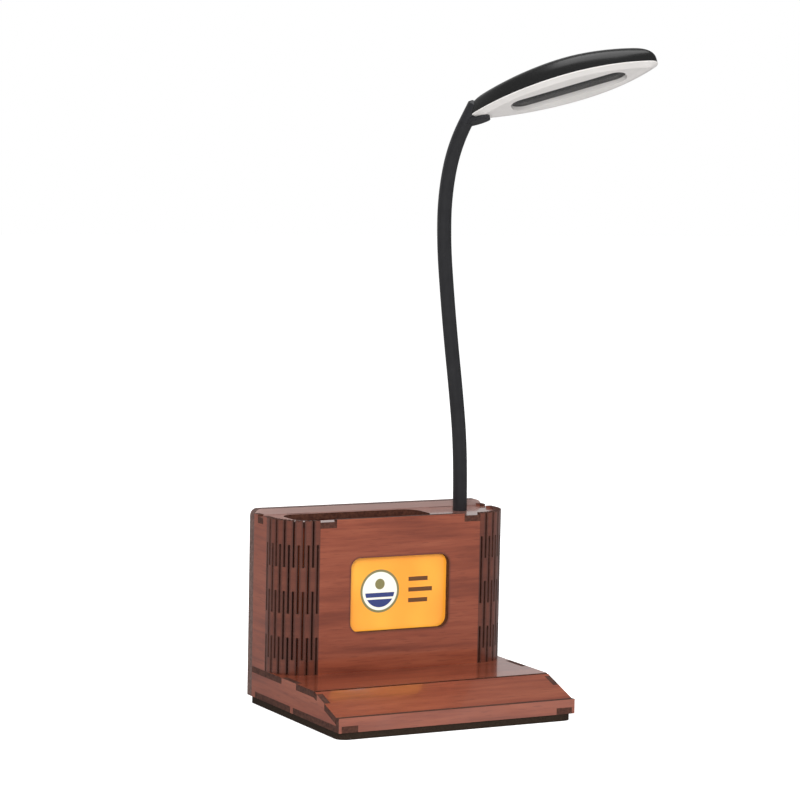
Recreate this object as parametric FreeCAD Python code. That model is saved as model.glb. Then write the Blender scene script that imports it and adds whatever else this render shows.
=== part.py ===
"""Desk pen stand with a gooseneck lamp.

A laser-cut board stand: a low plinth on a soft pad, a body whose front corners are bent round
slit living hinges, a picture plate behind a window, and a lamp on a flexible neck.
Millimetres, +X to the right, +Y to the back, +Z up. The origin is the centre of the pad's underside.
"""
import FreeCAD, Part
import math
import os

from FreeCAD import Placement, Rotation, Vector

# ---------------------------------------------------------------- driving dimensions
# sheet stock and fits
board = 3.0
back_board = 5.0
slot_gap = 0.1
running_gap = 0.06
overcut = 1.0

# plinth
base_width = 125.0
base_depth = 100.0
pad_thickness = 3.4
pad_inset = 0.6
pad_corner = 5.0
band_top = 10.3
ledge_top = 18.3
ledge_run = 35.2
foot_width = 3.3
back_foot_width = 3.9
ledge_tab_length = 16.0
bevel_tab_run = 8.0
bevel_tab_start = 3.0
front_tab_length = 8.2
front_tab_inset = 1.6
back_tab_length = 20.0
back_tab_from_side = 22.5

# body
body_depth = 38.5
wall_top = 92.5
corner_radius = 18.0
back_panel_rise = 2.0
back_panel_corner = 3.5
top_recess = 1.0
wall_tab_length = 12.0
wall_tab_from_bend = 12.5
top_tab_length = 8.5
top_tab_from_bend = 1.25
side_tab_length = 5.8
side_tab_from_back = 4.2
top_back_tab_length = 12.0

# living hinge
slit_columns = 13
slit_width = 0.9
slit_period = 44.4
slit_length = 33.0
slit_first_bridge = 6.0

# window and picture plate
window_width = 53.3
window_height = 36.0
window_corner = 5.0
window_above_ledge = 19.1
picture_overlap = 4.0
picture_thickness = 1.5
picture_corner = 3.0

# pen opening, and the bay on its right for the lamp's wiring
mouth_side_rim = 11.5
mouth_front_rim = 4.1
mouth_back_rim = 2.5
mouth_corner = 8.0
partition_setback = 1.5
bay_width = 32.5

# gooseneck
neck_from_side = 17.5
neck_from_back = 15.0
lamp_azimuth = -40.0
neck_radius = 3.5
link_length = 24.0
link_turns = (-2.0, -4.0, -1.0, 1.0, 1.0, 5.0, 10.0, 16.0)
neck_swing = 18.0
knuckle_radius = 2.4
knuckle_half_width = 1.6
stud_radius = 3.0
stud_length = 12.0
nut_across_flats = 9.0
nut_height = 4.0

# lamp head, in its own frame: X from the neck to the tip, Z up through the shell
head_pitch = 17.0
head_roll = 17.4
head_rise = 3.1
head_rear = 1.5
head_tip = 96.0
head_widest = 53.0
head_half_width = 19.0
head_rear_radius = 5.0
head_tip_radius = 5.5
head_height = 12.8
head_arch = 0.3
head_section = 0.77
head_levels = (0.0, 0.4, 0.65, 0.82, 0.94)
pocket_wall = 2.2
pocket_height = 5.0
bezel_edge = 0.5
bezel_depth = 1.8
bezel_slope_width = 4.0
window_rear = 22.0
window_tip = 80.0
window_half_width = 7.6
window_corner_radius = 6.5
lens_recess = 2.2
lens_seat = 1.2
lens_rim = 0.8
lens_thickness = 1.2
led_board_rear = 28.0
led_board_tip = 76.0
led_board_half_width = 5.6
led_board_thickness = 1.6
led_count = 6
led_rows = 2
led_size = 2.8
led_height = 0.8
led_lens_gap = 0.4
post_radius = 2.2
post_inset = 9.0
socket_length = 11.6
socket_chamfer = 1.4
spigot_radius = 2.5
spigot_length = 3.0
boss_rear = -3.0
boss_tip = 10.5
boss_half_width = 3.2
boss_end_radius = 2.5
boss_thickness = 2.0

# power inlet, switch, driver board and leads
inlet_from_side = 9.5
jack_above_ledge = 15.7
jack_body_radius = 4.0
jack_flange_radius = 5.5
jack_flange_thickness = 1.5
jack_bore_radius = 2.8
jack_bore_depth = 9.0
jack_pin_radius = 1.0
jack_length = 14.0
jack_nut_across_flats = 12.0
jack_nut_thickness = 2.0
switch_below_top = 28.5
switch_cutout_width = 8.8
switch_cutout_height = 13.4
switch_flange_width = 10.6
switch_flange_height = 15.2
switch_flange_thickness = 1.6
switch_depth = 12.0
switch_floor = 3.0
switch_wall = 0.9
rocker_pin_radius = 0.8
rocker_pin_depth = 1.0
rocker_gap = 0.35
rocker_throw = 18.0
rocker_rise = 2.2
rocker_valley = 1.1
rocker_skirt = 0.4
rocker_taper = 0.3
rocker_keel_depth = 2.4
rocker_keel_half_width = 1.6
terminal_width = 2.0
terminal_thickness = 0.6
terminal_length = 5.0
terminal_spacing = 6.0
driver_from_side = 23.5
driver_above_ledge = 21.7
driver_width = 14.0
driver_height = 20.0
driver_thickness = 1.6
driver_tape = 1.0
driver_tape_margin = 2.5
chip_width = 6.0
chip_height = 5.0
chip_thickness = 1.5
coil_width = 4.5
coil_height = 6.0
coil_thickness = 3.5
resistor_width = 2.0
resistor_height = 1.5
resistor_thickness = 0.6
resistor_pitch = 3.5
resistor_count = 3
lead_width = 2.4
lead_thickness = 1.2
lead_overlap = 1.0
lead_sag = 12.0
lead_bend_share = 0.45
lead_splay = 0.18
pad_margin = 3.5

# ---------------------------------------------------------------- places that follow from them
half_width = base_width / 2
front = -base_depth / 2
rear = base_depth / 2
panel_front = rear - back_board
band_back = front + board
pad_top = pad_thickness
floor_top = pad_top + board
ledge_under = ledge_top - board
wall_front = rear - body_depth
wall_inner = wall_front + board
inner_half_width = half_width - board
inner_radius = corner_radius - board
ledge_front = wall_front - ledge_run
plate_top = wall_top - top_recess
plate_under = plate_top - board
bevel_angle = math.atan2(ledge_top - band_top, ledge_front - band_back)
window_bottom = ledge_top + window_above_ledge
mouth_front = wall_inner + mouth_front_rim
mouth_back = panel_front - mouth_back_rim
partition_right = inner_half_width - bay_width
partition_left = partition_right - board
mouth_left = mouth_side_rim - half_width
mouth_right = partition_left - partition_setback
wall_tab_offset = half_width - corner_radius - wall_tab_from_bend - wall_tab_length / 2
top_tab_offset = half_width - corner_radius - top_tab_from_bend - top_tab_length / 2
back_tab_offset = half_width - back_tab_from_side - back_tab_length / 2
neck_x = inner_half_width - neck_from_side
neck_y = panel_front - neck_from_back
jack_x = inner_half_width - inlet_from_side
jack_z = ledge_top + jack_above_ledge
switch_x = jack_x
switch_z = wall_top - switch_below_top
rocker_y = rear - rocker_pin_depth
driver_x = inner_half_width - driver_from_side
driver_z = ledge_top + driver_above_ledge
driver_face = panel_front - driver_tape - driver_thickness


# ---------------------------------------------------------------- small helpers
def box(x0, x1, y0, y1, z0, z1):
    return Part.makeBox(x1 - x0, y1 - y0, z1 - z0, Vector(x0, y0, z0))


def prism_x(points, x0, x1):
    """A polygon given as (y, z) points, drawn out along X."""
    wire = Part.makePolygon([Vector(x0, y, z) for y, z in points + points[:1]])
    return Part.Face(wire).extrude(Vector(x1 - x0, 0, 0))


def rounded_block(x0, x1, y0, y1, z0, z1, radius):
    """A block whose four upright edges are rounded."""
    block = box(x0, x1, y0, y1, z0, z1)
    upright = [e for e in block.Edges if abs(e.tangentAt(e.FirstParameter).z) > 0.9]
    return block.makeFillet(radius, upright)


def window_block(x0, x1, z0, z1, y0, y1, radius):
    """A block along Y whose four edges along Y are rounded."""
    block = box(x0, x1, y0, y1, z0, z1)
    along = [e for e in block.Edges if abs(e.tangentAt(e.FirstParameter).y) > 0.9]
    return block.makeFillet(radius, along)


def revolve_z(profile):
    """A closed (radius, z) profile turned about Z."""
    wire = Part.makePolygon([Vector(r, 0, z) for r, z in profile + profile[:1]])
    return Part.Face(wire).revolve(Vector(0, 0, 0), Vector(0, 0, 1), 360)


def bent_outline(inset):
    """The body wall's outline, moved inwards by inset, open at the back, as three straights and two arcs."""
    x = half_width - inset
    y = wall_front + inset
    r = corner_radius - inset
    dy = r * (1 - math.sqrt(0.5))
    left = [Part.LineSegment(Vector(-x, panel_front, 0), Vector(-x, y + r, 0)).toShape(),
            Part.Arc(Vector(-x, y + r, 0), Vector(-x + dy, y + dy, 0), Vector(-x + r, y, 0)).toShape()]
    right = [Part.Arc(Vector(x - r, y, 0), Vector(x - dy, y + dy, 0), Vector(x, y + r, 0)).toShape(),
             Part.LineSegment(Vector(x, y + r, 0), Vector(x, panel_front, 0)).toShape()]
    return left + [Part.LineSegment(Vector(-x + r, y, 0), Vector(x - r, y, 0)).toShape()] + right


def bent_block(inset, z0, z1):
    """The space inside the bent outline, up to the back panel."""
    x = half_width - inset
    back = Part.LineSegment(Vector(x, panel_front, 0), Vector(-x, panel_front, 0)).toShape()
    wire = Part.Wire(bent_outline(inset) + [back])
    block = Part.Face(wire).extrude(Vector(0, 0, z1 - z0))
    block.translate(Vector(0, 0, z0))
    return block


def bevel_height(y):
    """Height of the bevel's outer surface at y."""
    return band_top + (y - band_back) * math.tan(bevel_angle)


def hex_nut(across_flats, hole_radius, height):
    """A nut on the Z axis, standing on the XY plane."""
    corner = across_flats / 2 / math.cos(math.radians(30))
    points = [Vector(corner * math.cos(math.radians(60 * i)), corner * math.sin(math.radians(60 * i)), 0)
              for i in range(7)]
    nut = Part.Face(Part.makePolygon(points)).extrude(Vector(0, 0, height))
    return nut.cut(Part.makeCylinder(hole_radius, height))


bend_radii = []


def flat_lead(points, width, thickness):
    """A flat two-core lead through points in one plane, with its wide side square to that plane.

    Straight runs are joined by arcs as large as the runs allow."""
    across = (points[1] - points[0]).cross(points[2] - points[1]).normalize()

    def section(place, along):
        side = across.cross(along).normalize() * (thickness / 2)
        wide = across * (width / 2)
        corners = [place - wide - side, place + wide - side, place + wide + side, place - wide + side]
        return Part.Face(Part.makePolygon(corners + corners[:1]))

    pieces = []
    start = points[0]
    for before, corner, after in zip(points, points[1:], points[2:]):
        into = (corner - before).normalize()
        out = (after - corner).normalize()
        turn = into.getAngle(out)
        trim = lead_bend_share * min((corner - before).Length, (after - corner).Length)
        bend = trim / math.tan(turn / 2)
        axis = into.cross(out).normalize()
        arc_start = corner - into * trim
        centre = arc_start + axis.cross(into) * bend
        pieces.append(section(start, into).extrude(arc_start - start))
        pieces.append(section(arc_start, into).revolve(centre, axis, math.degrees(turn)))
        bend_radii.append(bend)
        start = corner + out * trim
    pieces.append(section(start, points[-1] - start).extrude(points[-1] - start))
    return pieces[0].fuse(pieces[1:]).removeSplitter()


# ---------------------------------------------------------------- plinth
def make_base_pad():
    return rounded_block(-half_width + pad_inset, half_width - pad_inset, front + pad_inset,
                         rear - pad_inset, 0, pad_thickness, pad_corner)


def make_bottom_plate():
    """Its sides reach through the side plates as long tabs, its ends through the band and back panel."""
    plate = box(-half_width, half_width, band_back, panel_front, pad_top, floor_top)
    for side in (-1, 1):
        inner = side * (half_width - board)
        outer = side * (half_width + board)
        low, high = min(inner, outer), max(inner, outer)
        middle_foot = box(low, high, -foot_width / 2, foot_width / 2, pad_top, floor_top)
        back_foot = box(low, high, panel_front - back_foot_width, panel_front, pad_top, floor_top)
        plate = plate.cut(middle_foot).cut(back_foot)
        tip = side * (half_width - front_tab_inset)
        root = tip - side * front_tab_length
        plate = plate.fuse(box(min(tip, root), max(tip, root), front, band_back, pad_top, floor_top))
        plate = plate.fuse(back_tab(side, pad_top))
    return plate.removeSplitter()


def back_tab(side, z0):
    """One tab of a level board through the back panel."""
    middle = side * back_tab_offset
    return box(middle - back_tab_length / 2, middle + back_tab_length / 2, panel_front, rear, z0, z0 + board)


def make_front_band():
    band = box(-half_width, half_width, front, band_back, pad_top, band_top)
    for side in (-1, 1):
        tip = side * (half_width - front_tab_inset + slot_gap)
        root = tip - side * (front_tab_length + 2 * slot_gap)
        band = band.cut(box(min(tip, root), max(tip, root), front, band_back, pad_top, floor_top + slot_gap))
    return band


def make_base_side(side):
    """A side plate: two feet down to the pad, a slanted front, and a tab up through each cover plate."""
    under = board / math.cos(bevel_angle)
    meet = band_back + (ledge_under - band_top + under) / math.tan(bevel_angle)
    profile = [
        (panel_front, pad_top), (panel_front - back_foot_width + slot_gap, pad_top),
        (panel_front - back_foot_width + slot_gap, floor_top), (foot_width / 2 - slot_gap, floor_top),
        (foot_width / 2 - slot_gap, pad_top), (-foot_width / 2 + slot_gap, pad_top),
        (-foot_width / 2 + slot_gap, floor_top), (band_back, floor_top),
        (band_back, bevel_height(band_back) - under),
    ]
    tab_back = ledge_front - bevel_tab_start
    tab_front = tab_back - bevel_tab_run
    profile += [(tab_front, bevel_height(tab_front) - under), (tab_front, bevel_height(tab_front)),
                (tab_back, bevel_height(tab_back)), (tab_back, bevel_height(tab_back) - under)]
    profile += [(meet, ledge_under), (wall_front - ledge_tab_length, ledge_under),
                (wall_front - ledge_tab_length, ledge_top), (wall_front, ledge_top),
                (wall_front, ledge_under), (panel_front, ledge_under)]
    inner = side * inner_half_width
    outer = side * half_width
    return prism_x(profile, min(inner, outer), max(inner, outer))


def make_ledge_plate():
    """The level cover plate, which runs on under the body as the floor of the pen well."""
    plate = box(-half_width, half_width, ledge_front, panel_front, ledge_under, ledge_top)
    for side in (-1, 1):
        inner = side * (inner_half_width - slot_gap)
        outer = side * (half_width + board)
        plate = plate.cut(box(min(inner, outer), max(inner, outer), wall_front - ledge_tab_length - slot_gap,
                              wall_front + slot_gap, ledge_under, ledge_top))
        plate = plate.cut(wall_tab(side, slot_gap))
        plate = plate.fuse(back_tab(side, ledge_under))
    return plate.removeSplitter()


def make_bevel_plate():
    sine, cosine = math.sin(bevel_angle), math.cos(bevel_angle)
    top = ledge_front - board * sine
    profile = [(top, bevel_height(top)), (band_back, band_top),
               (band_back + board * sine, band_top - board * cosine),
               (top + board * sine, bevel_height(top) - board * cosine)]
    plate = prism_x(profile, -half_width, half_width)
    tab_back = ledge_front - bevel_tab_start + slot_gap
    tab_front = tab_back - bevel_tab_run - 2 * slot_gap
    for side in (-1, 1):
        inner = side * (inner_half_width - slot_gap)
        outer = side * (half_width + board)
        plate = plate.cut(box(min(inner, outer), max(inner, outer), tab_front, tab_back, pad_top, ledge_top))
    return plate


# ---------------------------------------------------------------- body
def wall_tab(side, gap):
    """The wall's tab down into the ledge plate, grown by gap for its slot."""
    middle = side * wall_tab_offset
    return box(middle - wall_tab_length / 2 - gap, middle + wall_tab_length / 2 + gap,
               wall_front - gap, wall_inner + gap, ledge_under, ledge_top)


def slit_tools():
    """Staggered slits round one front corner: a column's bridges stand beside its neighbours' slits."""
    tools = []
    for column in range(slit_columns):
        angle = 90.0 * column / (slit_columns - 1)
        bridge = wall_top - slit_first_bridge - (column % 2) * slit_period / 2
        top = bridge + slit_period - (slit_period - slit_length) / 2
        while top > ledge_top:
            high = min(top, wall_top + overcut)
            low = max(top - slit_length, ledge_top - overcut)
            if low < wall_top:
                slit = box(inner_radius - overcut, corner_radius + overcut, -slit_width / 2, slit_width / 2,
                           low, high)
                slit.rotate(Vector(0, 0, 0), Vector(0, 0, 1), -angle)
                tools.append(slit)
            top -= slit_period
    return tools


def top_tab(side, gap):
    """A tab of the top plate through the front wall, grown by gap for its notch, open at the top."""
    middle = side * top_tab_offset
    return box(middle - top_tab_length / 2 - gap, middle + top_tab_length / 2 + gap,
               wall_front, wall_inner + board, plate_under, plate_top if gap == 0 else wall_top)


def side_tab(side, gap):
    """A tab of the top plate through a side of the wall."""
    inner = side * (inner_half_width - board)
    outer = side * half_width
    back = panel_front - side_tab_from_back + gap
    return box(min(inner, outer), max(inner, outer), back - side_tab_length - 2 * gap, back,
               plate_under, plate_top if gap == 0 else wall_top)


def make_body_wall():
    """One sheet bent round both front corners, with the picture window and its tabs and notches."""
    wall = bent_block(0, ledge_top, wall_top).cut(bent_block(board, ledge_top, wall_top))
    corner = Vector(half_width - corner_radius, wall_front + corner_radius, 0)
    tools = []
    for tool in slit_tools():
        right = tool.copy()
        right.translate(corner)
        left = tool.mirror(Vector(0, 0, 0), Vector(1, 0, 0))
        left.translate(Vector(-corner.x, corner.y, 0))
        tools += [left, right]
    window_top = window_bottom + window_height
    tools.append(window_block(-window_width / 2, window_width / 2, window_bottom, window_top,
                              wall_front - overcut, wall_inner + overcut, window_corner))
    tools += [top_tab(side, slot_gap) for side in (-1, 1)]
    tools += [side_tab(side, slot_gap) for side in (-1, 1)]
    wall = wall.cut(Part.makeCompound(tools))
    return wall.fuse([wall_tab(side, 0) for side in (-1, 1)]).removeSplitter()


def make_back_panel():
    panel = window_block(-half_width, half_width, pad_top, wall_top + back_panel_rise, panel_front, rear,
                         back_panel_corner)
    square_foot = box(-half_width, half_width, panel_front, rear, pad_top, pad_top + back_panel_corner)
    panel = panel.fuse(square_foot).removeSplitter()
    for side in (-1, 1):
        for z0 in (pad_top, ledge_under, plate_under):
            tab = top_back_tab(side) if z0 == plate_under else back_tab(side, z0)
            size = tab.BoundBox
            panel = panel.cut(box(size.XMin - slot_gap, size.XMax + slot_gap, panel_front, rear,
                                  size.ZMin - (0 if z0 == pad_top else slot_gap), size.ZMax + slot_gap))
    panel = panel.cut(box(switch_x - switch_cutout_width / 2, switch_x + switch_cutout_width / 2,
                          panel_front, rear,
                          switch_z - switch_cutout_height / 2, switch_z + switch_cutout_height / 2))
    hole = Part.makeCylinder(jack_body_radius + slot_gap, back_board, Vector(jack_x, panel_front, jack_z),
                             Vector(0, 1, 0))
    return panel.cut(hole)


def top_back_tab(side):
    middle = side * top_tab_offset
    return box(middle - top_back_tab_length / 2, middle + top_back_tab_length / 2, panel_front, rear,
               plate_under, plate_top)


def make_top_plate():
    plate = bent_block(board + slot_gap, plate_under, plate_top)
    tabs = [top_tab(side, 0) for side in (-1, 1)]
    tabs += [side_tab(side, 0) for side in (-1, 1)]
    tabs += [top_back_tab(side) for side in (-1, 1)]
    plate = plate.fuse(tabs)
    mouth = rounded_block(mouth_left, mouth_right, mouth_front, mouth_back, plate_under, plate_top,
                          mouth_corner)
    stud_hole = Part.makeCylinder(stud_radius + slot_gap, board, Vector(neck_x, neck_y, plate_under))
    return plate.cut(mouth).cut(stud_hole).removeSplitter()


def make_partition():
    """Closes off the lamp's wiring from the pen well. It is notched round the picture plate."""
    partition = box(partition_left, partition_right, wall_inner, panel_front, ledge_top, plate_under)
    reach = picture_overlap + slot_gap
    return partition.cut(box(partition_left, partition_right,
                             wall_inner, wall_inner + picture_thickness + slot_gap,
                             window_bottom - reach, window_bottom + window_height + reach))


def make_picture_plate():
    reach = picture_overlap
    return window_block(-window_width / 2 - reach, window_width / 2 + reach, window_bottom - reach,
                        window_bottom + window_height + reach, wall_inner, wall_inner + picture_thickness,
                        picture_corner)


# ---------------------------------------------------------------- gooseneck
heading = Vector(math.cos(math.radians(lamp_azimuth)), math.sin(math.radians(lamp_azimuth)), 0)
bend_axis = Vector(0, 0, 1).cross(heading)


def link_starts():
    """Start point and lean from upright of each link, and of the head after the last."""
    point = Vector(neck_x, neck_y, plate_top)
    lean = 0.0
    starts = [(point, lean)]
    for turn in link_turns:
        half = math.radians(turn) / 2
        chord = link_length * math.sin(half) / half
        across = math.radians(lean) + half
        point = point + (heading * math.sin(across) + Vector(0, 0, 1) * math.cos(across)) * chord
        lean += turn
        starts.append((point, lean))
    return starts


starts = link_starts()
link_count = len(link_turns)


def run_direction(index):
    """Direction of a straight link, from its own joint to the next."""
    return (starts[index + 1][0] - starts[index][0]).normalize()


def joint_axis(index):
    """The joint below link index: odd ones bend the neck in its own plane, even ones sway it sideways."""
    lean = math.radians(starts[index][1])
    return bend_axis if index % 2 else heading * math.cos(lean) - Vector(0, 0, 1) * math.sin(lean)


def joint_room(index):
    """How far the links on both sides of a joint stop short of it, to swing clear of each other."""
    kink = abs(link_turns[index - 1] + link_turns[index]) / 2
    return neck_radius * math.tan(math.radians(kink + neck_swing) / 2) + slot_gap


def knuckle(index, gap):
    """The round knuckle on a joint's axis, grown by gap for its pocket."""
    half = knuckle_half_width + (slot_gap if gap else 0)
    axis = joint_axis(index)
    return Part.makeCylinder(knuckle_radius + gap, 2 * half, starts[index][0] - axis * half, axis)


def neck_end():
    """The end of the last link, and the neck's direction there."""
    end, lean = starts[-1]
    return end, heading * math.sin(math.radians(lean)) + Vector(0, 0, 1) * math.cos(math.radians(lean))


def neck_tool(radius, below, above):
    """A rod on the neck's end axis, from below the last link's end to above it, already in place."""
    end, along = neck_end()
    return Part.makeCylinder(radius, below + above, end - along * below, along)


def make_neck_segment(index):
    """A covered link of the neck: a pocket at its foot for the knuckle below, a knuckle at its head."""
    along = run_direction(index)
    foot = starts[index][0]
    head = starts[index + 1][0]
    low = joint_room(index) if index else -overcut
    high = overcut if index == link_count - 1 else -joint_room(index + 1)
    segment = Part.makeCylinder(neck_radius, (head - foot).Length + high - low, foot + along * low, along)
    if index:
        segment = segment.cut(knuckle(index, running_gap))
    else:
        segment = segment.cut(Part.makeCylinder(2 * neck_radius, board, Vector(neck_x, neck_y, plate_under)))
    if index == link_count - 1:
        segment = segment.cut(neck_tool(2 * neck_radius, 0, 2 * neck_radius))
        return segment.fuse(neck_tool(spigot_radius, overcut, spigot_length)).removeSplitter()
    return segment.fuse(knuckle(index + 1, 0))


def make_neck_stud():
    return Part.makeCylinder(stud_radius, stud_length, Vector(neck_x, neck_y, plate_top - stud_length))


def make_neck_nut():
    nut = hex_nut(nut_across_flats, stud_radius, nut_height)
    nut.translate(Vector(neck_x, neck_y, plate_under - nut_height))
    return nut


# ---------------------------------------------------------------- lamp head
class Leaf:
    """A leaf outline along X: a round tail and tip joined by long side arcs, all tangent to each other."""

    def __init__(self, tail, tip, widest, half, tail_radius, tip_radius):
        self.tail, self.tip, self.widest, self.half = tail, tip, widest, half
        self.tail_radius, self.tip_radius = tail_radius, tip_radius

    def grown(self, margin):
        return Leaf(self.tail - margin, self.tip + margin, self.widest, self.half + margin,
                    self.tail_radius + margin, self.tip_radius + margin)

    def end_arc(self, sign):
        """Centre and radius of the arc at the tail (-1) or the tip (+1)."""
        if sign < 0:
            return self.tail + self.tail_radius, self.tail_radius
        return self.tip - self.tip_radius, self.tip_radius

    def side_radius(self, sign):
        centre, radius = self.end_arc(sign)
        return ((centre - self.widest) ** 2 + self.half ** 2 - radius ** 2) / (2 * (self.half - radius))

    def meeting(self, sign):
        """Where along X the side arc runs into the end arc."""
        centre, radius = self.end_arc(sign)
        away = Vector(centre - self.widest, self.side_radius(sign) - self.half, 0).normalize()
        return centre + away.x * radius

    def half_width(self, x):
        sign = -1 if x < self.widest else 1
        centre, radius = self.end_arc(sign)
        if sign * (x - self.meeting(sign)) > 0:
            return math.sqrt(max(0.0, radius ** 2 - (x - centre) ** 2))
        side = self.side_radius(sign)
        return self.half - side + math.sqrt(side ** 2 - (x - self.widest) ** 2)

    def wire(self, z):
        def place(x, side):
            return Vector(x, side * self.half_width(x), z)

        arcs = []
        for sign, end in ((-1, self.tail), (1, self.tip)):
            meet = self.meeting(sign)
            for side in (-1, 1):
                arcs.append(Part.Arc(place(self.widest, side), place((self.widest + meet) / 2, side),
                                     place(meet, side)))
            arcs.append(Part.Arc(place(meet, 1), Vector(end, 0, z), place(meet, -1)))
        return Part.Wire(Part.sortEdges([arc.toShape() for arc in arcs])[0])

    def block(self, z0, z1):
        return Part.Face(self.wire(z0)).extrude(Vector(0, 0, z1 - z0))


head_leaf = Leaf(head_rear, head_tip, head_widest, head_half_width, head_rear_radius, head_tip_radius)
boss_leaf = Leaf(boss_rear, boss_tip, (boss_rear + boss_tip) / 2, boss_half_width,
                 boss_end_radius, boss_end_radius)
lens_bottom = lens_recess - bezel_depth
lens_top = lens_bottom + lens_thickness
led_board_under = lens_top + led_lens_gap + led_height
led_board_top = led_board_under + led_board_thickness


def dome_leaf(level):
    """The shell's outline at a share of its height: it keeps its width longer than its length."""
    length = math.sqrt(1 - level ** (1 / head_arch))
    width = (1 - level ** (2 / head_section)) ** (head_section / 2)
    tail = head_widest + (head_rear - head_widest) * length
    tip = head_widest + (head_tip - head_widest) * length
    return Leaf(tail, tip, head_widest, head_half_width * width, head_rear_radius * width,
                head_tip_radius * width)


def make_dome():
    """A loft through outlines at rising levels, from the rim to a narrow flat on the crown."""
    rise = head_height / head_levels[-1]
    return Part.makeLoft([dome_leaf(level).wire(rise * level) for level in head_levels], True, True)


def window_shape(margin, low, high):
    """The lens window as a block, grown by margin."""
    half = window_half_width + margin
    return rounded_block(window_rear - margin, window_tip + margin, -half, half, low, high,
                         window_corner_radius + margin)


def head_placement():
    """From the head's own frame to the row's. Its origin is where the neck's axis meets the rim plane."""
    end, along = neck_end()
    turn = Rotation(Vector(0, 0, 1), lamp_azimuth)
    pitch = Rotation(Vector(0, 1, 0), -head_pitch)
    roll = Rotation(Vector(1, 0, 0), -head_roll)
    return Placement(end + along * head_rise, turn.multiply(pitch).multiply(roll))


def in_place(shape):
    shape.Placement = head_placement()
    return shape


def without_neck(shape):
    """Cuts the room for the neck and its socket out of a piece of the head."""
    return shape.cut(neck_tool(neck_radius + slot_gap, 2 * socket_length, 2 * socket_length))


def make_head_shell():
    """The lofted dome, with a pocket, two posts that hold the LED board, and room for the neck."""
    shell = make_dome().cut(head_leaf.grown(-pocket_wall).block(0, pocket_height))
    for x in (led_board_rear + post_inset, led_board_tip - post_inset):
        shell = shell.fuse(Part.makeCylinder(post_radius, pocket_height + overcut - led_board_top,
                                             Vector(x, 0, led_board_top)))
    return without_neck(in_place(shell))


def make_head_bezel():
    """The shell's shallow lid, sloped in from its edge, with a rimmed window that the lens is set into."""
    inner_leaf = head_leaf.grown(-bezel_slope_width)
    slope = Part.makeLoft([head_leaf.wire(-bezel_edge), inner_leaf.wire(-bezel_depth)], True, True)
    rim = window_shape(lens_seat + lens_rim, -bezel_depth, lens_top)
    bezel = head_leaf.block(-bezel_edge, 0).fuse([slope, rim])
    bezel = bezel.cut(window_shape(0, -bezel_depth, lens_top))
    bezel = bezel.cut(window_shape(lens_seat, lens_bottom, lens_top))
    return without_neck(in_place(bezel)).removeSplitter()


def make_head_lens():
    return in_place(window_shape(lens_seat - slot_gap, lens_bottom, lens_top))


def make_led_board():
    return in_place(box(led_board_rear, led_board_tip, -led_board_half_width, led_board_half_width,
                        led_board_under, led_board_top))


def make_leds():
    chips = []
    pitch = (led_board_tip - led_board_rear) / led_count
    for row in range(led_rows):
        y = (row - (led_rows - 1) / 2) * led_board_half_width
        for i in range(led_count):
            x = led_board_rear + pitch * (i + 0.5)
            chips.append(box(x - led_size / 2, x + led_size / 2, y - led_size / 2, y + led_size / 2,
                             led_board_under - led_height, led_board_under))
    return in_place(Part.makeCompound(chips))


def make_head_boss():
    """The dark fairing under the head's rear end, round the neck."""
    return without_neck(in_place(boss_leaf.block(-bezel_depth - boss_thickness, -bezel_depth)))


def head_lead_points():
    """Up from the spigot along the neck's axis, then straight forwards to the rear end of the LED board."""
    end, along = neck_end()
    placement = head_placement()
    rise = placement.Rotation.inverted().multVec(along)
    level = (led_board_under + led_board_top) / 2
    corner = rise * (level / rise.z)
    board_end = Vector(led_board_rear, corner.y, level)
    return [end + along * spigot_length, placement.multVec(corner), placement.multVec(board_end)]


def make_neck_socket():
    """A socket that the last link's spigot is pressed into, clamped between boss and shell."""
    socket = neck_tool(neck_radius, 0, socket_length)
    end, along = neck_end()
    top = end + along * socket_length
    rim = [e for e in socket.Edges if e.CenterOfMass.distanceToPoint(top) < slot_gap]
    socket = socket.makeChamfer(socket_chamfer, rim)
    slot = flat_lead(head_lead_points(), lead_width + 2 * slot_gap, lead_thickness + 2 * slot_gap)
    return socket.cut(neck_tool(spigot_radius, 0, spigot_length)).cut(slot)


def make_head_lead():
    return flat_lead(head_lead_points(), lead_width, lead_thickness)


# ---------------------------------------------------------------- inlet, switch and wiring
def along_y(shape, x, y, z):
    """Turns a shape drawn along Z so that its Z points out of the back, and moves it to x, y, z."""
    shape.Placement = Placement(Vector(x, y, z), Rotation(Vector(1, 0, 0), -90))
    return shape


def make_power_jack():
    """A round barrel socket: flange outside, body through the panel, blind bore with a centre pin."""
    shell = revolve_z([(0, -jack_length), (jack_body_radius, -jack_length), (jack_body_radius, 0),
                       (jack_flange_radius, 0), (jack_flange_radius, jack_flange_thickness),
                       (jack_bore_radius, jack_flange_thickness),
                       (jack_bore_radius, jack_flange_thickness - jack_bore_depth),
                       (0, jack_flange_thickness - jack_bore_depth)])
    return along_y(shell, jack_x, rear, jack_z)


def make_jack_pin():
    low = jack_flange_thickness - jack_bore_depth
    pin = Part.makeCylinder(jack_pin_radius, -low, Vector(0, 0, low))
    return along_y(pin, jack_x, rear, jack_z)


def make_jack_nut():
    nut = hex_nut(jack_nut_across_flats, jack_body_radius, jack_nut_thickness)
    return along_y(nut, jack_x, panel_front - jack_nut_thickness, jack_z)


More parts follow.
